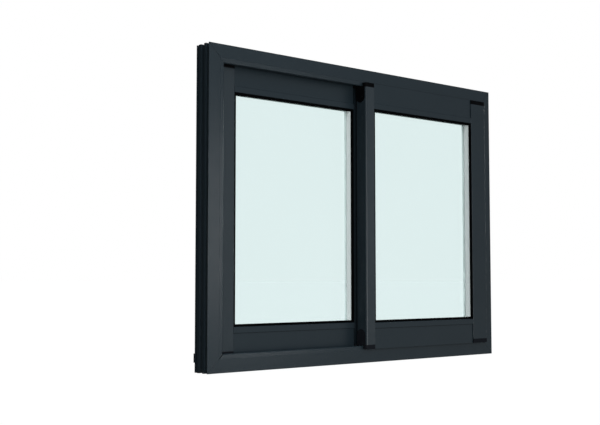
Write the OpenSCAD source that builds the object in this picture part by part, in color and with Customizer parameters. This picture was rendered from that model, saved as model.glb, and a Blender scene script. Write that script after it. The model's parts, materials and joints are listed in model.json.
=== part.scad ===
// Two-sash horizontal sliding window in powder-coated aluminium, double glazed.
// +X is to the right seen from the room, +Y is outdoors, +Z is up, in millimetres.
// The origin is the centre of the frame's underside.

/* [Outer frame] */
// Overall width of the frame
frame_w = 980; // [800:10:1600]
// Overall height of the frame
frame_h = 750; // [600:10:1400]
// Depth of the frame, room face to outdoor face
frame_d = 50; // [50:1:54]
// Width of the frame's face, wall side to lip edge
face_w = 43; // [42:1:44]
// Distance from the frame's edge to the shadow groove on its face
groove_at = 32; // [30:1:34]

/* [Sashes] */
// Thickness of a sash
sash_t = 36; // [35:0.5:36]
// Distance between the mid-planes of the two sashes
track_pitch = 39; // [39:0.5:40]
// How far a sash laps over the lip of the frame
overlap = 8.5; // [8:0.5:9]
// Height of the top and bottom rails
rail_h = 66.4; // [64:0.2:68]
// Width of the stile that closes against the jamb
lock_w = 57.4; // [56:0.2:62]
// Width of the stile at the middle of the window
meet_w = 28.8; // [28:0.2:30]
// How far the meeting stiles reach past the middle of the window
meet_past = 11; // [10:1:12]
// Depth of the glazing pocket in the stiles, from the edge at the glass
bead_w = 12.8; // [12.4:0.2:14]
// Height of the raised bead on the rails, next to the glass
bead_h = 15; // [13:0.2:16]
// Depth of the rails' main face behind the stiles' face
rail_recess = 3; // [2:0.5:3]
// Radius of the meeting stile's exposed corner
corner_r = 6; // [4:1:6]

/* [Glass] */
// Thickness of each pane
pane_t = 4; // [4:1:5]
// Gap between the panes
cavity = 16; // [12:1:16]
// How far the panes sit inside the profiles
edge_cover = 8.8; // [8:0.2:8.8]
// How far the black gasket stands out from the profile on the room side
gasket_proud = 6; // [1:0.5:7]

/* [Rollers] */
// Radius of a wheel's tread
wheel_r = 9.5; // [9:0.5:10]
// Distance from the end of the bottom rail to a wheel's axle
wheel_inset = 65; // [55:5:90]

/* [Fixing] */
// Radius of the holes for the wall screws
fix_r = 3.25; // [2.5:0.25:4]
// Distance between the two wall screws of a jamb
fix_pitch = 450; // [300:10:500]

/* [Hidden] */
SASH_PARTS = [
    "top_rail", "bottom_rail", "lock_stile", "meeting_stile", "interlock", "interlock_pile",
    "inner_pane", "outer_pane", "spacer", "edge_sealant", "room_gasket", "outdoor_seal",
    "setting_blocks", "lock_top_cap", "lock_bottom_cap", "meeting_top_cap",
    "meeting_bottom_cap", "pile_seals", "top_guides", "roller_housings", "roller_axles",
    "lock_side_wheel", "meeting_side_wheel", "corner_screws"
];
$fn = 48;

// Colours
coat = [0.22, 0.25, 0.28];
black = [0.06, 0.06, 0.07];
steel = [0.70, 0.71, 0.72];
bare = [0.62, 0.64, 0.66];
glazing = [0.80, 0.92, 0.90, 0.35];
nylon = [0.85, 0.85, 0.82];
sealant = [0.72, 0.73, 0.73];

// General
wall = 1.6;        // wall of every extrusion
slip = 0.3;        // gap between pieces that slide or drop in
eps = 0.01;        // overlap that makes a union or a cut clean
arc_steps = 6;     // flats on a rounded edge

// Outer frame, measured inwards from the wall side
half_d = frame_d / 2;
lip_t = 11;                       // thickness of a lip, which is also the track
lip_r = 3;                        // rounding of the lip's edge
floor_at = 24;                    // floor of the channel between the lips
lip_mid = track_pitch / 2;        // each sash is centred on its lip
lip_in = lip_mid - lip_t / 2;
groove_w = 1;
groove_d = 0.5;
band_back = 0.2;                  // set-back of the band beyond the groove, at the groove
band_lean = 0.8;                  // and where its rounded edge begins
ridge_out = 5;                    // depth of the grooves in the wall side
ridge_room = [-12, -5];           // the two ridges on the wall side, along Y
ridge_outdoor = [8, 17];
mitre_gap = 0.12;                 // half the width of the line at a mitre
mitre_reach = face_w + 5;         // how far in from the wall side the mitre cuts reach
lip_relief = 2.5;                 // sill lips stop short of the mitre to let water through

// Sash, in its own frame: x and z as the window's, y = 0 at its mid-plane
half_t = sash_t / 2;
sash_gap = track_pitch - sash_t;
edge_z = face_w - overlap;                 // lower edge of a sash
top_z = frame_h - edge_z;
lock_x = frame_w / 2 - edge_z;             // closing edge
lock_in = lock_x - lock_w;                 // its edge at the glass
meet_in = meet_w - meet_past;
rail_t = sash_t - 2 * rail_recess;
half_rail = rail_t / 2;
rail_x0 = meet_in - bead_w;                // rails run between the webs of the stiles
rail_x1 = lock_in + bead_w;
pocket_v = rail_h - bead_h + wall;         // floor of the glazing pocket, from the rail's edge
roller_web = 31;                           // top of the roller channel in a rail
bead_r = 1.5;
cap_h = 11;                                // height of the plastic caps on the stiles
cap_plug = 14;                             // how far a cap reaches into its stile
tongue_w = 31;                             // the cap's tongue on the meeting stile's free side
tongue_l = 50;
tongue_t = 1.2;
tongue_y = 2.5;
lip_cut = lip_t / 2 + slip;                // half width of the slot that clears a lip
channel_u = 18;                            // depth of the lock stile's channel

// Sight opening of a sash
sight_z0 = edge_z + rail_h;
sight_z1 = top_z - rail_h;
glass_y = pane_t + cavity / 2;             // outer face of a pane from the mid-plane
sealant_w = 3.5;
spacer_h = 7;
spacer_t = 1;
gasket_deep = edge_cover + 1;              // how far the gaskets reach down beside the panes
gasket_lip_t = 3;                          // thickness of the part that stands proud
seal_proud = 1.5;                          // how far the outdoor seal stands out
block_l = 80;                              // setting blocks
block_in = 1;                              // how much narrower they are than the glass unit, per side
block_at = 60;                             // from the sight line to the middle of a block
drain_at = 40;                             // from the sight line to the middle of a drain slot

// Corner screws of a sash
wall_bite = 0.2;      // how far a screw port sinks into the wall beside it
port_y = 8;
port_r = 3.8;
port_v = roller_web + wall + port_r - wall_bite;
screw_r = 2;
screw_hole = screw_r + 0.1;
screw_l = 20;
head_r = 3.6;
head_h = 2.4;
head_edge = 0.5;
socket_r = 1.5;
socket_h = 1.4;
access_r = 4.5;

// Rollers
axle_z = face_w + slip + wheel_r;
flange_r = wheel_r + 1.5;
flange_t = 1.4;
groove_half = lip_t / 2 + 0.1;
wheel_half = groove_half + flange_t;
rim = 0.4;            // chamfers of a wheel
axle_r = 2.5;
axle_bore = axle_r + 0.12;
plate_in = wheel_half + slip;
plate_t = 2;
house_l = 60;
house_gap = 2;
house_block = 12;
house_foot = 3;

// Top guides
guide_l = 40;

// Pile seals
pile_w = 5;
pile_at = 1.5;

// Interlock
hook_t = 0.7;
hook_x = 4;
hook_reach = 7;
hook_base = 0.4;
toe_in = 0.2;
pile_x0 = 6;
pile_x1 = 10;

// Frame corner cleats
cleat_leg = 66;
cleat_u0 = ridge_out + wall + slip;
cleat_u1 = floor_at - wall - slip;
cleat_screw_at = 56;
cleat_screw_y = 7;
cleat_hole_r = 5;
cleat_hole_y = 11.55;
cleat_hole_at = cleat_leg - 2 * cleat_hole_r - (cleat_u1 - cleat_u0);

// Blocks in the head and sill channels
seal_l = 60;
seal_groove = 1.8;
stop_over = 4;        // how far a stop reaches past the jamb's lip
stop_gap = 1;         // below the edge of the lips
stop_y = 0.5;         // how far a stop reaches past the middle of the frame

// Sill drainage
slot_l = 30;
slot_h = 5;
slot_x = 300;
floor_slot_x = 240;
floor_slot_y = 5;
cover_l = 42;
cover_h = 9;
cover_t = 2.5;
slot_z = 12;

// Drip nosing on the outdoor side
nosing_z0 = 22.5;
nosing_z1 = 33.5;
nosing_out = 4.2;
nosing_nose = 4;          // height of its drip edge
nosing_end = edge_z - 1;  // from the frame's side to its end
nosing_cap_z1 = face_w;
nosing_cap_out = 4.5;

// Points of an arc about (cx, cy)
function arc(cx, cy, r, a0, a1) =
    [for (i = [0:arc_steps]) let (a = a0 + (a1 - a0) * i / arc_steps) [cx + r * cos(a), cy + r * sin(a)]];

// Outline of the frame's bar: u inwards from the wall side, y towards outdoors
function half_outline() = concat(
    [[0, half_d], [groove_at - groove_w, half_d], [groove_at - groove_w, half_d - groove_d],
     [groove_at, half_d - groove_d], [groove_at, half_d - band_back]],
    arc(face_w - lip_r, half_d - band_lean - lip_r, lip_r, 90, 0),
    arc(face_w - lip_r, lip_in + lip_r, lip_r, 0, -90),
    [[floor_at, lip_in]]
);

function flip(points) = [for (i = [len(points) - 1:-1:0]) [points[i][0], -points[i][1]]];

module frame_section() {
    difference() {
        polygon(concat(half_outline(), flip(half_outline())));
        // grooves along the wall side
        for (band = [
            [-half_d + wall, ridge_room[0]], [ridge_room[1], ridge_outdoor[0]],
            [ridge_outdoor[1], half_d - wall]
        ])
            translate([-eps, band[0]]) square([ridge_out + eps, band[1] - band[0]]);
        // main chamber, which runs up into both ridges
        translate([ridge_out + wall, -half_d + wall])
            square([floor_at - ridge_out - 2 * wall, frame_d - 2 * wall]);
        for (ridge = [ridge_room, ridge_outdoor])
            translate([wall, ridge[0] + wall])
                square([ridge_out + eps, ridge[1] - ridge[0] - 2 * wall]);
        // chambers inside the lips
        for (side = [-1, 1])
            polygon([for (p = [
                [floor_at, lip_in + wall], [face_w - lip_r, lip_in + wall],
                [face_w - wall, lip_in + lip_r], [face_w - wall, half_d - band_lean - lip_r],
                [face_w - lip_r - 1, half_d - band_lean - wall], [floor_at, half_d - 2 * wall]
            ]) [p[0], side * p[1]]]);
    }
}

// A bar along X with its wall side at z = 0, cut to 45 degrees at both ends
module frame_bar(length, relief) {
    intersection() {
        translate([-length / 2, 0, 0]) rotate([90, 0, 90])
            linear_extrude(length) mirror([1, -1, 0]) frame_section();
        translate([0, frame_d, 0]) rotate([90, 0, 0]) linear_extrude(2 * frame_d)
            polygon([
                [-length / 2 + mitre_gap, -eps], [length / 2 - mitre_gap, -eps],
                [length / 2 - groove_at - mitre_gap, groove_at],
                [length / 2 - groove_at - mitre_gap - relief, groove_at],
                [length / 2 - mitre_reach - mitre_gap - relief, mitre_reach],
                [-length / 2 + mitre_reach + mitre_gap + relief, mitre_reach],
                [-length / 2 + groove_at + mitre_gap + relief, groove_at],
                [-length / 2 + groove_at + mitre_gap, groove_at]
            ]);
    }
}

// Holes for the cleat screws in the channel floor of a bar along X
module floor_holes(length) {
    for (side = [-1, 1])
        translate([side * (length / 2 - cleat_screw_at), cleat_screw_y, floor_at - 2 * wall])
            cylinder(r = screw_hole, h = 3 * wall);
}

module as_head() { translate([0, 0, frame_h]) mirror([0, 0, 1]) children(); }
module as_left_jamb() { translate([-frame_w / 2, 0, frame_h / 2]) rotate([0, 90, 0]) children(); }
module as_right_jamb() { mirror([1, 0, 0]) as_left_jamb() children(); }

module frame_head() {
    color(coat) as_head() difference() {
        frame_bar(frame_w, 0);
        floor_holes(frame_w);
    }
}

module frame_sill() {
    color(coat) difference() {
        frame_bar(frame_w, lip_relief);
        floor_holes(frame_w);
        for (side = [-1, 1]) {
            translate([side * slot_x - slot_l / 2, half_d - 2 * wall, slot_z - slot_h / 2])
                cube([slot_l, 3 * wall, slot_h]);
            translate([side * floor_slot_x - slot_l / 2, floor_slot_y, floor_at - 2 * wall])
                cube([slot_l, slot_h, 3 * wall]);
        }
    }
}

module jamb_bar() {
    difference() {
        frame_bar(frame_h, 0);
        floor_holes(frame_h);
        for (side = [-1, 1])
            translate([side * fix_pitch / 2, 0, -eps]) cylinder(r = fix_r, h = floor_at + 1);
    }
}

module frame_left_jamb() { color(coat) as_left_jamb() jamb_bar(); }
module frame_right_jamb() { color(coat) as_right_jamb() jamb_bar(); }

// One cleat at the lower left corner
module cleat() {
    deep = frame_d - 2 * wall - 2 * slip;
    thick = cleat_u1 - cleat_u0;
    difference() {
        translate([0, -deep / 2, 0]) union() {
            translate([cleat_u0, 0, cleat_u0]) cube([cleat_leg - cleat_u0, deep, thick]);
            translate([cleat_u0, 0, cleat_u0]) cube([thick, deep, cleat_leg - cleat_u0]);
        }
        // holes that save metal
        for (y = [-1, 1] * cleat_hole_y) {
            translate([cleat_hole_at, y, 0]) cylinder(r = cleat_hole_r, h = floor_at);
            translate([0, y, cleat_hole_at]) rotate([0, 90, 0])
                cylinder(r = cleat_hole_r, h = floor_at);
        }
        translate([cleat_screw_at, cleat_screw_y, 0]) cylinder(r = screw_hole, h = floor_at);
        translate([0, cleat_screw_y, cleat_screw_at]) rotate([0, 90, 0])
            cylinder(r = screw_hole, h = floor_at);
    }
}

// One copy of the children at each corner of the frame, drawn for the lower left one
module at_corners() {
    for (flip_x = [0, 1], flip_z = [0, 1])
        translate([(2 * flip_x - 1) * frame_w / 2, 0, flip_z * frame_h])
            mirror([flip_x, 0, 0]) mirror([0, 0, flip_z]) children();
}

module corner_cleats() { color(bare) at_corners() cleat(); }

// Socket-head screw whose head sits at z = 0 and whose shank points down
module pan_screw(shank) {
    difference() {
        union() {
            translate([0, 0, -shank]) cylinder(r = screw_r, h = shank + eps);
            cylinder(r = head_r, h = head_h - head_edge);
            translate([0, 0, head_h - head_edge - eps])
                cylinder(r1 = head_r, r2 = head_r - head_edge, h = head_edge + eps);
        }
        translate([0, 0, head_h - socket_h]) cylinder(r = socket_r, h = head_h, $fn = 6);
    }
}

module cleat_screws() {
    shank = floor_at - cleat_u0 - 2;
    color(steel) at_corners() {
        translate([cleat_screw_at, cleat_screw_y, floor_at]) pan_screw(shank);
        translate([floor_at, cleat_screw_y, cleat_screw_at]) rotate([0, 90, 0]) pan_screw(shank);
    }
}

// Block with a pile face that closes the channel under the meeting stiles
module seal_block() {
    deep = 2 * lip_in - 2 * slip;
    high = edge_z - floor_at - 1;
    translate([-seal_l / 2, -deep / 2, floor_at]) difference() {
        cube([seal_l, deep, high]);
        for (x = [1 / 4, 1 / 2, 3 / 4] * seal_l)
            translate([x - seal_groove / 2, -eps, high - seal_groove])
                cube([seal_groove, deep + 2 * eps, seal_groove + eps]);
    }
}

module sill_seal_block() { color(black) seal_block(); }
module head_seal_block() { color(black) as_head() seal_block(); }

// Stops in the head and sill channels, two for each sash
module travel_stops() {
    long = face_w - floor_at + stop_over;
    high = face_w - floor_at - stop_gap;
    color(black) for (turn = [0, 180], z = [floor_at, frame_h - floor_at - high])
        rotate([0, 0, turn]) translate([-frame_w / 2 + floor_at, -lip_in + slip, z])
            cube([long, lip_in + stop_y, high]);
}

module drain_covers() {
    color(black) for (side = [-1, 1])
        translate([side * slot_x - cover_l / 2, half_d, slot_z - cover_h / 2]) difference() {
            cube([cover_l, cover_t, cover_h]);
            translate([wall, -eps, -eps]) cube([cover_l - 2 * wall, cover_t - 1, cover_h - wall]);
        }
}

// Strip that throws rain clear of the drain slots
module drip_nosing() {
    room = frame_w / 2 - nosing_end;
    color(coat) translate([-room, 0, 0]) rotate([90, 0, 90]) linear_extrude(2 * room)
        polygon([
            [half_d, nosing_z0 + nosing_nose], [half_d + nosing_out - wall, nosing_z0 + nosing_nose / 2],
            [half_d + nosing_out - wall, nosing_z0], [half_d + nosing_out, nosing_z0],
            [half_d + nosing_out, nosing_z0 + nosing_nose], [half_d + wall, nosing_z1],
            [half_d, nosing_z1]
        ]);
}

module nosing_end_caps() {
    color(black) for (side = [-1, 1])
        translate([side * (frame_w - nosing_end) / 2 - nosing_end / 2, half_d, nosing_z0])
            cube([nosing_end, nosing_cap_out, nosing_cap_z1 - nosing_z0]);
}

// ---- Sash pieces, drawn for the front sash about its own mid-plane ----

module on_front_track() { translate([0, -track_pitch / 2, 0]) children(); }
module on_rear_track() { rotate([0, 0, 180]) on_front_track() children(); }
module upside_down() { translate([0, 0, frame_h]) mirror([0, 0, 1]) children(); }

// Section of a rail: v up from its outer edge, w across its thickness
module rail_body_section() {
    difference() {
        translate([-half_rail, 0]) square([rail_t, pocket_v]);
        translate([-half_rail + wall, -eps]) square([rail_t - 2 * wall, roller_web + eps]);
        translate([-half_rail + wall, roller_web + wall])
            square([rail_t - 2 * wall, pocket_v - roller_web - 2 * wall]);
    }
    for (side = [-1, 1]) translate([side * port_y, port_v]) difference() {
        circle(r = port_r);
        circle(r = screw_hole);
    }
}

module rail_bead_section() {
    side_wall = concat(
        [[half_t - wall, rail_h], [half_t - wall, pocket_v], [0, pocket_v], [0, pocket_v - wall]],
        arc(half_t - bead_r, pocket_v - wall + bead_r, bead_r, -90, 0),
        arc(half_t - bead_r, rail_h - bead_r, bead_r, 0, 60)
    );
    for (side = [-1, 1]) polygon([for (p = side_wall) [side * p[0], p[1]]]);
}

module along_x(x0, x1) {
    translate([x0, 0, 0]) rotate([90, 0, 90]) linear_extrude(x1 - x0) children();
}

module rail() {
    translate([0, 0, edge_z]) {
        along_x(rail_x0, rail_x1) rail_body_section();
        along_x(meet_in, lock_in) rail_bead_section();
    }
}

module bottom_rail() {
    color(coat) difference() {
        rail();
        // drain slots in the floor of the glazing pocket
        for (x = [meet_in + drain_at, lock_in - drain_at])
            translate([x - slot_l / 2, -slot_h / 2, edge_z + pocket_v - 2 * wall])
                cube([slot_l, slot_h, 3 * wall]);
    }
}

module top_rail() { color(coat) upside_down() rail(); }

// Section of the lock stile: x as the window's
module lock_section() {
    pocket = lock_in + bead_w;
    difference() {
        polygon(concat(
            arc(lock_in + bead_r, -half_t + bead_r, bead_r, 180, 270),
            arc(lock_x - bead_r, -half_t + bead_r, bead_r, -90, 0),
            arc(lock_x - bead_r, half_t - bead_r, bead_r, 0, 90),
            arc(lock_in + bead_r, half_t - bead_r, bead_r, 90, 180)
        ));
        translate([lock_in - 1, -half_t + wall]) square([bead_w + 1, sash_t - 2 * wall]);
        translate([pocket + wall, -half_t + wall])
            square([lock_x - channel_u - pocket - 2 * wall, sash_t - 2 * wall]);
        translate([lock_x - channel_u, -half_t + wall])
            square([channel_u + 1, sash_t - 2 * wall]);
    }
}

// Where the corner screws go, at the lower end of a sash: children at each one
module at_ports() {
    for (side = [-1, 1]) translate([0, side * port_y, edge_z + port_v]) children();
}

// Holes for the corner screws through a web at x, and the driver's holes at access_x
module screw_holes(x, access_x) {
    module pair() {
        at_ports() {
            translate([x - 1, 0, 0]) rotate([0, 90, 0]) cylinder(r = screw_hole, h = wall + 2);
            translate([access_x - 1, 0, 0]) rotate([0, 90, 0])
                cylinder(r = access_r, h = wall + 2);
        }
    }
    pair();
    upside_down() pair();
}

module stile_length() {
    translate([0, 0, edge_z + cap_h]) linear_extrude(top_z - edge_z - 2 * cap_h) children();
}

module lock_stile() {
    color(coat) difference() {
        stile_length() lock_section();
        screw_holes(lock_in + bead_w, lock_x - channel_u - wall);
    }
}

// Section of the meeting stile, round at its exposed corner
module meeting_outline(inset) {
    r = corner_r - inset;
    x0 = -meet_past + inset;
    y0 = half_t - inset;
    polygon(concat(
        arc(x0 + r, -y0 + r, r, 180, 270),
        [[meet_in - inset, -y0], [meet_in - inset, y0]],
        arc(x0 + bead_r, y0 - bead_r, bead_r, 90, 180)
    ));
}

module meeting_section() {
    web = meet_in - bead_w;
    difference() {
        meeting_outline(0);
        intersection() {
            meeting_outline(wall);
            translate([-meet_past, -half_t]) square([web - wall + meet_past, sash_t]);
        }
        translate([web, -half_t + wall]) square([bead_w + 1, sash_t - 2 * wall]);
    }
}

module meeting_stile() {
    color(coat) difference() {
        stile_length() meeting_section();
        screw_holes(meet_in - bead_w - wall, -meet_past);
    }
}

// Hooked strip on the meeting stile's back, which catches the other sash's
module interlock() {
    toe = sash_gap / 2 + toe_in;
    color(coat) translate([0, half_t, 0]) stile_length() {
        translate([-meet_past + bead_r, 0])
            square([meet_past - bead_r - hook_x + eps, hook_base]);
        translate([-hook_x - hook_t, 0]) square([hook_t, toe + hook_t]);
        translate([-hook_x - eps, toe]) square([hook_reach, hook_t]);
    }
}

module interlock_pile() {
    color(black) translate([0, half_t + hook_base, 0]) stile_length()
        translate([-pile_x1, 0]) square([pile_x1 - pile_x0, sash_gap - hook_base - slip]);
}

// A rectangular ring in the plane of the glass, from `out` outside the sight line to `inn`
module glass_ring(out, inn, y0, y1) {
    translate([0, y0, 0]) difference() {
        translate([meet_in - out, 0, sight_z0 - out])
            cube([lock_in - meet_in + 2 * out, y1 - y0, sight_z1 - sight_z0 + 2 * out]);
        translate([meet_in - inn, -1, sight_z0 - inn])
            cube([lock_in - meet_in + 2 * inn, y1 - y0 + 2, sight_z1 - sight_z0 + 2 * inn]);
    }
}

// The pane on one side: -1 is the side away from the other sash
module pane(side) {
    color(glazing) translate([
        meet_in - edge_cover, side * (cavity + pane_t) / 2 - pane_t / 2, sight_z0 - edge_cover
    ])
        cube([
            lock_in - meet_in + 2 * edge_cover, pane_t, sight_z1 - sight_z0 + 2 * edge_cover
        ]);
}

module spacer() {
    color(bare) difference() {
        glass_ring(edge_cover - sealant_w, edge_cover - sealant_w - spacer_h,
                   -cavity / 2, cavity / 2);
        glass_ring(edge_cover, edge_cover - sealant_w - spacer_h + spacer_t,
                   -cavity / 2 + spacer_t, cavity / 2 - spacer_t);
    }
}

module edge_sealant() {
    color(black) glass_ring(edge_cover, edge_cover - sealant_w, -cavity / 2, cavity / 2);
}

// A ring against the outer face of the pane on one side, `thick` from the glass outwards
module against_pane(side, out, inn, thick) {
    near = side * glass_y;
    far = near + side * thick;
    glass_ring(out, inn, min(near, far), max(near, far));
}

module room_gasket(side) {
    color(black) union() {
        against_pane(side, gasket_deep, 0, half_t - wall - glass_y);
        against_pane(side, eps, -gasket_proud, gasket_lip_t);
    }
}

module outdoor_seal(side) {
    color(sealant) against_pane(side, gasket_deep, -seal_proud, half_t - wall - glass_y);
}

module setting_blocks() {
    high = bead_h - wall - edge_cover;
    color(black) for (x = [meet_in + block_at, lock_in - block_at])
        translate([x - block_l / 2, -glass_y + block_in, sight_z0 - bead_h + wall])
            cube([block_l, 2 * (glass_y - block_in), high]);
}

// Caps: slotted to pass over the lips of the frame
module lip_slot() {
    translate([-frame_w, -lip_cut, 0]) cube([2 * frame_w, 2 * lip_cut, face_w + slip]);
    translate([lock_x - overlap - slip, -lip_cut, 0])
        cube([2 * overlap, 2 * lip_cut, 2 * frame_h]);
}

module lock_cap() {
    chamber_x0 = lock_in + bead_w + wall + slip;
    chamber_x1 = lock_x - channel_u - wall - slip;
    plug_t = half_t - wall - slip;
    difference() {
        union() {
            translate([0, 0, edge_z]) linear_extrude(cap_h) polygon(concat(
                [[lock_in, -half_t]],
                arc(lock_x - bead_r, -half_t + bead_r, bead_r, -90, 0),
                arc(lock_x - bead_r, half_t - bead_r, bead_r, 0, 90),
                [[lock_in, half_t]]
            ));
            translate([chamber_x0, -plug_t, edge_z + cap_h - eps])
                cube([chamber_x1 - chamber_x0, 2 * plug_t, cap_plug]);
        }
        // the rail's end passes beside the cap
        translate([lock_in - 1, -half_rail - slip, edge_z - 1])
            cube([bead_w + 1 + slip, rail_t + 2 * slip, cap_h + 2]);
        lip_slot();
    }
}

module lock_bottom_cap() { color(black) lock_cap(); }
module lock_top_cap() { color(black) upside_down() lock_cap(); }

module meeting_cap() {
    web = meet_in - bead_w;
    difference() {
        union() {
            translate([0, 0, edge_z]) linear_extrude(cap_h) meeting_outline(0);
            translate([0, 0, edge_z + cap_h - eps]) linear_extrude(cap_plug) intersection() {
                meeting_outline(wall + slip);
                translate([-meet_past, -half_t])
                    square([web - wall - slip + meet_past, sash_t]);
            }
            translate([-meet_past - tongue_t, tongue_y, edge_z]) {
                translate([0, -tongue_w / 2, 0])
                    cube([tongue_t, tongue_w, tongue_l - tongue_w / 2]);
                translate([0, 0, tongue_l - tongue_w / 2]) rotate([0, 90, 0])
                    cylinder(r = tongue_w / 2, h = tongue_t);
            }
        }
        translate([web - slip, -half_rail - slip, edge_z - 1])
            cube([bead_w + 1 + slip, rail_t + 2 * slip, cap_h + 2]);
        lip_slot();
    }
}

module meeting_bottom_cap() { color(black) meeting_cap(); }
module meeting_top_cap() { color(black) upside_down() meeting_cap(); }

// Pile strips that wipe both faces of the lip, along the rails and the lock stile
module pile_seals() {
    rail_pile = half_rail - wall - lip_cut;
    stile_pile = half_t - wall - lip_cut;
    module rail_strips() {
        for (side = [0, 1]) mirror([0, side, 0])
            translate([rail_x0 + 1, lip_cut, edge_z + pile_at])
                cube([rail_x1 - rail_x0 - 2, rail_pile, pile_w]);
    }
    color(black) {
        rail_strips();
        upside_down() rail_strips();
        for (side = [0, 1]) mirror([0, side, 0])
            translate([lock_x - pile_at - pile_w, lip_cut, edge_z + cap_h + 1])
                cube([pile_w, stile_pile, top_z - edge_z - 2 * cap_h - 2]);
    }
}

// Blocks in the top rail that guide the sash on the head's lip and stop it lifting out
module top_guides() {
    deep = half_rail - wall - slip;
    v0 = pile_at + pile_w + slip;
    color(black) upside_down() for (x = [rail_x0 + wheel_inset, rail_x1 - wheel_inset])
        difference() {
            translate([x - guide_l / 2, -deep, edge_z + v0])
                cube([guide_l, 2 * deep, roller_web - v0 - slip]);
            lip_slot();
        }
}

// Rollers in the bottom rail
module at_wheels() {
    for (x = [rail_x0 + wheel_inset, rail_x1 - wheel_inset]) translate([x, 0, axle_z]) children();
}

module roller_housings() {
    high = edge_z + roller_web - axle_z - slip;
    low = axle_z - edge_z - pile_at - pile_w - slip;
    deep = half_rail - wall - slip;
    color(black) at_wheels() difference() {
        union() {
            for (side = [0, 1]) mirror([0, side, 0])
                translate([-house_l / 2, plate_in, -low]) cube([house_l, plate_t, high + low]);
            for (side = [0, 1]) mirror([side, 0, 0])
                translate([house_l / 2 - house_block, -plate_in - eps, -low + house_gap])
                    cube([house_block, 2 * plate_in + 2 * eps, high + low - house_gap]);
            for (side = [0, 1]) mirror([side, 0, 0])
                translate([house_l / 2 - house_block, -deep, high - house_foot])
                    cube([house_block, 2 * deep, house_foot]);
        }
        rotate([90, 0, 0]) cylinder(r = axle_bore, h = sash_t, center = true);
        translate([-frame_w, -lip_cut, -axle_z]) cube([2 * frame_w, 2 * lip_cut, face_w + slip]);
    }
}

module roller_axles() {
    color(steel) at_wheels() rotate([90, 0, 0])
        cylinder(r = axle_r, h = 2 * (plate_in + plate_t), center = true);
}

module wheel() {
    rotate([90, 0, 0]) rotate_extrude() polygon([
        [axle_bore, -wheel_half], [flange_r - rim, -wheel_half], [flange_r, -wheel_half + rim],
        [flange_r, -groove_half - rim], [wheel_r + rim, -groove_half], [wheel_r, -groove_half + rim],
        [wheel_r, groove_half - rim], [wheel_r + rim, groove_half], [flange_r, groove_half + rim],
        [flange_r, wheel_half - rim], [flange_r - rim, wheel_half], [axle_bore, wheel_half]
    ]);
}

module meeting_side_wheel() {
    color(nylon) translate([rail_x0 + wheel_inset, 0, axle_z]) wheel();
}

module lock_side_wheel() {
    color(nylon) translate([rail_x1 - wheel_inset, 0, axle_z]) wheel();
}

// Screws through the stiles' webs into the rails' ports
module corner_screws() {
    module one_end() {
        at_ports() {
            translate([rail_x1 + wall, 0, 0]) rotate([0, 90, 0]) pan_screw(screw_l + wall);
            translate([rail_x0 - wall, 0, 0]) rotate([0, -90, 0]) pan_screw(screw_l + wall);
        }
    }
    color(steel) {
        one_end();
        upside_down() one_end();
    }
}

// One piece of a sash by its short name
module sash_part(name, room_side) {
    if (name == "top_rail") top_rail();
    if (name == "bottom_rail") bottom_rail();
    if (name == "lock_stile") lock_stile();
    if (name == "meeting_stile") meeting_stile();
    if (name == "interlock") interlock();
    if (name == "interlock_pile") interlock_pile();
    if (name == "inner_pane") pane(room_side);
    if (name == "outer_pane") pane(-room_side);
    if (name == "spacer") spacer();
    if (name == "edge_sealant") edge_sealant();
    if (name == "room_gasket") room_gasket(room_side);
    if (name == "outdoor_seal") outdoor_seal(-room_side);
    if (name == "setting_blocks") setting_blocks();
    if (name == "lock_top_cap") lock_top_cap();
    if (name == "lock_bottom_cap") lock_bottom_cap();
    if (name == "meeting_top_cap") meeting_top_cap();
    if (name == "meeting_bottom_cap") meeting_bottom_cap();
    if (name == "pile_seals") pile_seals();
    if (name == "top_guides") top_guides();
    if (name == "roller_housings") roller_housings();
    if (name == "roller_axles") roller_axles();
    if (name == "lock_side_wheel") lock_side_wheel();
    if (name == "meeting_side_wheel") meeting_side_wheel();
    if (name == "corner_screws") corner_screws();
}

frame_head();
frame_sill();
frame_left_jamb();
frame_right_jamb();
corner_cleats();
cleat_screws();
head_seal_block();
sill_seal_block();
travel_stops();
drain_covers();
drip_nosing();
nosing_end_caps();
for (name = SASH_PARTS) {
    on_front_track() sash_part(name, -1);
    on_rear_track() sash_part(name, 1);
}
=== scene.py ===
"""Looks for a two-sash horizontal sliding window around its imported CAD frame."""

import json
import math

import bpy
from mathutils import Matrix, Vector


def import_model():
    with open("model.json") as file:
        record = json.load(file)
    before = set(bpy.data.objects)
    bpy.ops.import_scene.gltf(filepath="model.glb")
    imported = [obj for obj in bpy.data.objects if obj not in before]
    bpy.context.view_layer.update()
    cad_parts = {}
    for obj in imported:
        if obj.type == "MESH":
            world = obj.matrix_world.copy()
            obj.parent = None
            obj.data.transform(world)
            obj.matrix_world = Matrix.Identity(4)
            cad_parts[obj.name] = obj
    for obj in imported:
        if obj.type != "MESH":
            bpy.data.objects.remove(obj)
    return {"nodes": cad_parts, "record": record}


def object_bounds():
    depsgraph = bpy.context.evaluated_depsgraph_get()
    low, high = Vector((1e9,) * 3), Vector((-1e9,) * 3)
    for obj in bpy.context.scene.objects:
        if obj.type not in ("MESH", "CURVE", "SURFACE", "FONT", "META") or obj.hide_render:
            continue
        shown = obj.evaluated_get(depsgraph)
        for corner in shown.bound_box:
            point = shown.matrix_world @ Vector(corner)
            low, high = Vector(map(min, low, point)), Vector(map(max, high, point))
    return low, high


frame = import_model()
CAD_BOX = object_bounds()
NODES = frame["nodes"]

# ---------------------------------------------------------------- node helpers


def add_node(tree, kind, values=(), **settings):
    """A new node with its settings and inputs: a link where the value is a socket."""
    node = tree.nodes.new("ShaderNode" + kind)
    for key, value in settings.items():
        setattr(node, key, value)
    for key, value in dict(values).items():
        if isinstance(value, bpy.types.NodeSocket):
            tree.links.new(value, node.inputs[key])
        else:
            node.inputs[key].default_value = value
    return node


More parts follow.
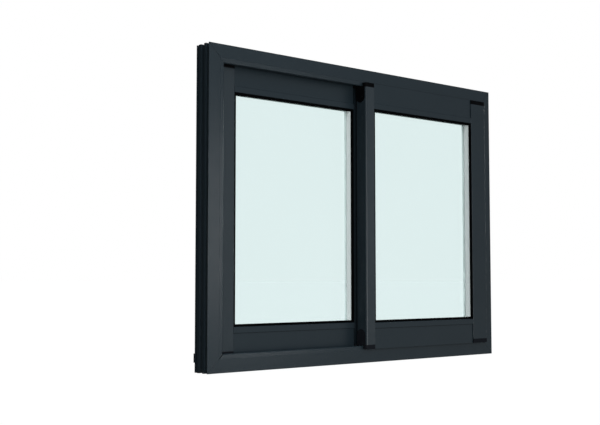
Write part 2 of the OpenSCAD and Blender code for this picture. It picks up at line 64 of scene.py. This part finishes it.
class Shader:
    """A material's node tree, with short calls for the nodes that the finishes use."""

    def __init__(self, name):
        self.mat = bpy.data.materials.new(name)
        self.mat.use_nodes = True
        self.tree = self.mat.node_tree
        self.tree.nodes.clear()
        self.out = self.tree.nodes.new("ShaderNodeOutputMaterial")

    def node(self, kind, values=(), **settings):
        return add_node(self.tree, kind, values, **settings)

    def place(self):
        """The object's own coordinates, in metres."""
        return self.node("TexCoord").outputs["Object"]

    def noise(self, scale, detail=2.0, roughness=0.5):
        values = {
            "Vector": self.place(), "Scale": scale, "Detail": detail, "Roughness": roughness,
        }
        return self.node("TexNoise", values).outputs["Fac"]

    def spread(self, fac, low, high, start=0.3, end=0.7):
        """Maps a factor from start..end onto low..high."""
        values = {"Value": fac, "From Min": start, "From Max": end, "To Min": low, "To Max": high}
        return self.node("MapRange", values).outputs["Result"]

    def blend(self, fac, first, second):
        """Mixes two colours, each a socket or three linear numbers."""
        first, second = (
            colour if isinstance(colour, bpy.types.NodeSocket) else (*colour, 1.0)
            for colour in (first, second)
        )
        return self.node("Mix", {0: fac, 6: first, 7: second}, data_type="RGBA").outputs[2]

    def maths(self, operation, first, second):
        return self.node("Math", {0: first, 1: second}, operation=operation).outputs[0]

    def bump(self, height, distance, strength):
        values = {"Height": height, "Distance": distance, "Strength": strength}
        return self.node("Bump", values).outputs["Normal"]

    def principled(self, **values):
        named = {key.replace("_", " "): value for key, value in values.items()}
        shader = self.node("BsdfPrincipled", named)
        self.tree.links.new(shader.outputs[0], self.out.inputs["Surface"])


def linear(*levels):
    """A screen colour, 0 to 255, as the linear colour that the shaders take (sRGB's curve)."""
    shares = (level / 255 for level in levels)
    return tuple(s / 12.92 if s <= 0.04045 else ((s + 0.055) / 1.055) ** 2.4 for s in shares)


def scaled(colour, factor):
    return tuple(channel * factor for channel in colour)


# ------------------------------------------------------------------- materials

HALF_WIDTH = CAD_BOX[1][0]
HALF_HEIGHT = CAD_BOX[1][2] / 2

MITRE_LINE = 0.0009                          # width of the hairline where two frame bars meet
MITRE_COLOUR = (0.003, 0.004, 0.005)
COAT_DARKER = (0.0180, 0.0295, 0.0375)       # the two tones that the powder coat clouds between
COAT_LIGHTER = (0.0200, 0.0320, 0.0402)

PAINTED_LIGHT_START, PAINTED_LIGHT_END = 0.1, 0.65             # heights between which the painted light on black plastic fades out
# painted light: black plastic's lighter colour low down, and its plain colour higher up
PLASTIC_PAINTED_LIGHT = linear(29, 31, 36)
PLASTIC_PLAIN = linear(6, 6, 7)
PLASTIC_SPECKS = linear(34, 36, 40)

GLASS_DARKER = (0.9285, 0.9660, 0.9640)
GLASS_LIGHTER = (0.9300, 0.9670, 0.9650)
GLASS_GLOSS = 0.01                           # mirrored share seen square on
GLASS_EDGE_GLOSS = 0.5                       # and what a low angle adds to it
GLASS_FALLOFF = 5.0

GRAIN_DEPTH = 0.00005                        # metres, of the coat's and the plastics' bump
METAL_GRAIN_DEPTH = 0.00004


def mitre_line(s):
    """1 on the four diagonals where the frame's bars meet, 0 elsewhere."""
    axes = s.node("SeparateXYZ", {0: s.place()}).outputs
    across = s.maths("SUBTRACT", HALF_WIDTH, s.maths("ABSOLUTE", axes["X"], 0.0))
    height = s.maths("ABSOLUTE", s.maths("SUBTRACT", axes["Z"], HALF_HEIGHT), 0.0)
    along = s.maths("SUBTRACT", HALF_HEIGHT, height)
    off = s.maths("ABSOLUTE", s.maths("SUBTRACT", across, along), 0.0)
    return s.maths("LESS_THAN", off, MITRE_LINE / 2)


def powder_coat(name, mitred=False):
    """Anthracite powder coat: fine orange peel and a slightly uneven tone and sheen."""
    s = Shader(name)
    peel = s.noise(900, detail=2, roughness=0.6)
    cloud = s.noise(7, detail=3, roughness=0.55)
    colour = s.blend(s.spread(cloud, 0, 1), COAT_DARKER, COAT_LIGHTER)
    if mitred:
        colour = s.blend(mitre_line(s), colour, MITRE_COLOUR)
    s.principled(
        Base_Color=colour,
        Roughness=s.spread(s.noise(60, detail=3, roughness=0.6), 0.34, 0.40),
        Specular_IOR_Level=0.35,
        Normal=s.bump(peel, GRAIN_DEPTH, strength=0.4),
    )
    return s.mat


def plastic(name, colour, rough, grain=1400, specular=0.4):
    """Moulded plastic, rubber or pile: a fine grain and a slightly uneven tone."""
    s = Shader(name)
    fine = s.noise(grain, detail=2, roughness=0.6)
    s.principled(
        Base_Color=s.blend(s.spread(s.noise(25), 0, 1), colour, scaled(colour, 1.25)),
        Roughness=s.spread(s.noise(90), rough - 0.05, rough + 0.05),
        Specular_IOR_Level=specular,
        Normal=s.bump(fine, GRAIN_DEPTH, strength=0.5),
    )
    return s.mat


def black_plastic():
    """Moulded black plastic with painted light: its colour is lighter on the pieces low down."""
    s = Shader("black_plastic")
    height = s.node("SeparateXYZ", {0: s.place()}).outputs["Z"]
    rise = s.spread(height, 0, 1, PAINTED_LIGHT_START, PAINTED_LIGHT_END)
    # painted light: lighter low down, fading out with height
    painted_light = s.blend(rise, PLASTIC_PAINTED_LIGHT, PLASTIC_PLAIN)
    s.principled(
        Base_Color=s.blend(s.spread(s.noise(25), 0, 0.25), painted_light, PLASTIC_SPECKS),
        Roughness=s.spread(s.noise(90), 0.55, 0.65),
        Specular_IOR_Level=0.04,
        Normal=s.bump(s.noise(1400, detail=2, roughness=0.6), GRAIN_DEPTH, strength=0.5),
    )
    return s.mat


def metal(name, colour, rough, metallic=1.0):
    """Bare or plated metal with a fine grain."""
    s = Shader(name)
    grain = s.noise(500, detail=3, roughness=0.6)
    s.principled(
        Base_Color=s.blend(s.spread(grain, 0, 1), scaled(colour, 0.85), colour),
        Metallic=metallic,
        Roughness=s.spread(s.noise(70), rough - 0.06, rough + 0.06),
        Normal=s.bump(grain, METAL_GRAIN_DEPTH, strength=0.4),
    )
    return s.mat


def clear_glass():
    """Clear float glass with its faint green tint.

    It lets light straight through, and mirrors more at a low angle.
    """
    s = Shader("glass")
    tint = s.blend(s.spread(s.noise(3), 0, 1), GLASS_DARKER, GLASS_LIGHTER)
    through = s.node("BsdfTransparent", {"Color": tint})
    mirror = s.node("BsdfGlossy", {"Color": (1, 1, 1, 1), "Roughness": 0.02})
    facing = s.node("LayerWeight").outputs["Facing"]
    slant = s.maths("POWER", facing, GLASS_FALLOFF)
    gloss = s.maths("MULTIPLY_ADD", slant, GLASS_EDGE_GLOSS)
    gloss.node.inputs[2].default_value = GLASS_GLOSS
    mix = s.node("MixShader", {0: gloss, 1: through.outputs[0], 2: mirror.outputs[0]})
    s.tree.links.new(mix.outputs[0], s.out.inputs["Surface"])
    return s.mat


MATERIALS = {
    "powder_coat": powder_coat("powder_coat"),
    "black_plastic": black_plastic(),
    "black_rubber": plastic("black_rubber", linear(3, 3, 4), 0.75, grain=600, specular=0.05),
    "grey_sealant": plastic("grey_sealant", linear(174, 178, 177), 0.5, grain=300),
    "pile": plastic("pile", linear(14, 14, 15), 0.9, grain=2500, specular=0.1),
    "glass": clear_glass(),
    "spacer_aluminium": metal("spacer_aluminium", (0.66, 0.67, 0.67), 0.5, metallic=0.4),
    "cast_aluminium": metal("cast_aluminium", (0.55, 0.55, 0.55), 0.5),
    "screw_steel": metal("screw_steel", (0.6, 0.6, 0.58), 0.3),
    "nylon": plastic("nylon", linear(200, 198, 190), 0.4),
}
MITRED_COAT = powder_coat("frame_powder_coat", mitred=True)


def is_frame(name):
    """The four bars of the frame."""
    return name.startswith("frame_")


for part in frame["record"]["subparts"]:
    mesh = NODES[part["node"]].data
    mesh.materials.clear()
    slot_material = MATERIALS[part["material_slot"]]
    mesh.materials.append(MITRED_COAT if is_frame(part["node"]) else slot_material)

# ------------------------------------------------------------ camera and stage

CAMERA_AT = (-1.7792, -1.8908, 0.2122)
CAMERA_TILT = 3.762                          # degrees up from level
CAMERA_TURN = -39.868                        # degrees round from straight ahead
SENSOR_WIDTH = 36                            # millimetres, as the lens is
LENS = 60.43

FLOOR_REACH = 60.0
FLOOR_ALBEDO = 0.15
FLOOR_MOTTLE = 1.02                          # how much lighter its lighter patches are
FLOOR_GLOW = 0.985

WHITE = (1, 1, 1, 1)

FRONT_GLOW = 0.40                            # the bright room in front of the window
FRONT_AZIMUTH = -4
FRONT_CORE, FRONT_REACH = 50, 95             # degrees from its middle that it fades out between
SIDE_GLOW = 0.03                             # the light that comes from everywhere
LOW_GLOW = 0.3                               # share of the light that is left far below the horizon
LOW_START, LOW_END = -0.7, -0.1              # sines of the elevations that it fades between
CARD_GLOW = 0.14                             # a low glow that the bottom rails and the sill mirror
CARD_AZIMUTH, CARD_ELEVATION = 43, -9
CARD_REACH = 24
LOW_TINT = (1.0, 0.97, 0.92, 1)
HIGH_TINT = (0.80, 0.95, 1.08, 1)
TINT_RANGE = 0.4                             # sine of the elevation where a tint is full

EDGE_AZIMUTH, EDGE_ELEVATION = -50, 12
EDGE_SPREAD = 60


def link(thing):
    bpy.context.scene.collection.objects.link(thing)


def aim_camera():
    camera = bpy.data.objects.new("camera", bpy.data.cameras.new("camera"))
    link(camera)
    bpy.context.scene.camera = camera
    camera.location = CAMERA_AT
    camera.rotation_euler = (math.radians(90 + CAMERA_TILT), 0, math.radians(CAMERA_TURN))
    camera.data.sensor_width = SENSOR_WIDTH
    camera.data.lens = LENS


def floor():
    """A pale floor that runs out of sight. It takes a faint shadow, and throws no light back up."""
    mesh = bpy.data.meshes.new("floor")
    far = FLOOR_REACH
    corners = [(-far, -far, 0), (far, -far, 0), (far, far, 0), (-far, far, 0)]
    mesh.from_pydata(corners, [], [(0, 1, 2, 3)])
    plane = bpy.data.objects.new("floor", mesh)
    link(plane)
    s = Shader("floor")
    darker = (FLOOR_ALBEDO,) * 3
    s.principled(
        Base_Color=s.blend(s.spread(s.noise(2), 0, 1), darker, scaled(darker, FLOOR_MOTTLE)),
        Roughness=1.0,
        Specular_IOR_Level=0.0,
        Emission_Color=WHITE,
        Emission_Strength=FLOOR_GLOW,
    )
    mesh.materials.append(s.mat)
    plane.visible_diffuse = False
    plane.visible_glossy = False


def toward(azimuth, elevation):
    """A direction. Azimuth 0 is straight in front of the window, 90 to its right, -90 left."""
    az, el = math.radians(azimuth), math.radians(elevation)
    return Vector((math.sin(az) * math.cos(el), -math.cos(az) * math.cos(el), math.sin(el)))


def world():
    """White where the camera sees it, and a soft studio where it lights the object."""
    sky = bpy.data.worlds.new("studio")
    bpy.context.scene.world = sky
    sky.use_nodes = True
    tree = sky.node_tree
    tree.nodes.clear()

    def node(kind, values=(), **settings):
        return add_node(tree, kind, values, **settings)

    def maths(operation, first, second):
        return node("Math", {0: first, 1: second}, operation=operation).outputs[0]

    way = node("TexCoord").outputs["Generated"]

    def glow(azimuth, elevation, inner, outer, strength):
        """Light from round a direction, fading out between two angles from it."""
        middle = toward(azimuth, elevation)
        facing = node("VectorMath", {0: way, 1: middle}, operation="DOT_PRODUCT")
        values = {
            "Value": facing.outputs["Value"],
            "From Min": math.cos(math.radians(outer)),
            "From Max": math.cos(math.radians(inner)),
            "To Min": 0.0,
            "To Max": strength,
        }
        return node("MapRange", values, interpolation_type="SMOOTHSTEP").outputs["Result"]

    front = glow(FRONT_AZIMUTH, 0, FRONT_CORE, FRONT_REACH, FRONT_GLOW)
    room = maths("ADD", front, SIDE_GLOW)
    height = node("SeparateXYZ", {0: way}).outputs["Z"]
    low = {"Value": height, "From Min": LOW_START, "From Max": LOW_END, "To Min": LOW_GLOW}
    dimmed = maths("MULTIPLY", room, node("MapRange", low).outputs["Result"])
    card = glow(CARD_AZIMUTH, CARD_ELEVATION, 0, CARD_REACH, CARD_GLOW)
    total = maths("ADD", dimmed, card)
    rise = {"Value": height, "From Min": -TINT_RANGE, "From Max": TINT_RANGE}
    share = node("MapRange", rise).outputs["Result"]
    tint = node("Mix", {0: share, 6: LOW_TINT, 7: HIGH_TINT}, data_type="RGBA").outputs[2]
    light = node("Background", {"Color": tint, "Strength": total}).outputs[0]
    seen = node("Background", {"Color": WHITE}).outputs[0]
    by_camera = node("LightPath").outputs["Is Camera Ray"]
    mix = node("MixShader", {0: by_camera, 1: light, 2: seen})
    node("OutputWorld", {"Surface": mix.outputs[0]})


# ---------------------------------------------------------------------- lights


def hang(name, lamp, pointing, receivers):
    """Puts a lamp in the scene. Only the nodes whose names fit receivers take its light."""
    holder = bpy.data.objects.new(name, lamp)
    link(holder)
    holder.rotation_euler = pointing.to_track_quat("Z", "Y").to_euler()
    group = bpy.data.collections.new(name + "_nodes")
    for node_name, node in NODES.items():
        if receivers(node_name):
            group.objects.link(node)
    holder.light_linking.receiver_collection = group
    return holder


def sun(name, azimuth, elevation, strength, spread, receivers):
    """A soft light from far away."""
    lamp = bpy.data.lights.new(name, "SUN")
    lamp.energy = strength
    lamp.angle = math.radians(spread)
    return hang(name, lamp, toward(azimuth, elevation), receivers)


def softbox(name, at, aim, width, height, power, receivers, beam=180):
    """A rectangular lamp, with its beam's full angle in degrees."""
    lamp = bpy.data.lights.new(name, "AREA")
    lamp.shape = "RECTANGLE"
    lamp.size, lamp.size_y = width, height
    lamp.energy = power
    lamp.spread = math.radians(beam)
    holder = hang(name, lamp, Vector(at) - Vector(aim), receivers)
    holder.location = at
    holder.visible_camera = False


def edge_light(sash, strength):
    """A lamp that only the edge of a sash's glass unit takes, and nothing else shades."""
    edges = (sash + "_spacer", sash + "_outdoor_seal")
    lamp = sun(
        sash + "_edge_light", EDGE_AZIMUTH, EDGE_ELEVATION, strength, EDGE_SPREAD,
        receivers=lambda name: name in edges,
    )
    lamp.light_linking.blocker_collection = lamp.light_linking.receiver_collection


def is_lit_stile(name):
    """Every stile but the front lock stile, which stays darker."""
    return name.endswith("stile") and name != "front_lock_stile"


def is_window(name):
    """Every piece of the window, and so not the floor."""
    return name in NODES


def takes_key(name):
    """All but the rear meeting stile, which is kept dark by choice: no shadow falls on it."""
    return name != "rear_meeting_stile"


aim_camera()
floor()
world()
softbox(
    "key", at=(-1.0, -2.0, 0.15), aim=(0, 0, 0.375), width=1.6, height=1.2, power=30,
    receivers=takes_key,
)
softbox(
    "sheen", at=(0.55, -1.27, 0.40), aim=(-0.48, 0, 0.32), width=0.3, height=0.6, power=0.13,
    receivers=is_frame, beam=34,
)
sun("stiles", azimuth=38, elevation=2, strength=0.12, spread=16, receivers=is_lit_stile)
sun("back", azimuth=150, elevation=20, strength=2.2, spread=50, receivers=is_window)
sun("right", azimuth=105, elevation=12, strength=1.2, spread=26, receivers=is_window)
sun("top", azimuth=180, elevation=72, strength=1.8, spread=30, receivers=is_window)
edge_light("front", 3.9)
edge_light("rear", 5.1)
bpy.context.scene.view_settings.view_transform = "Standard"
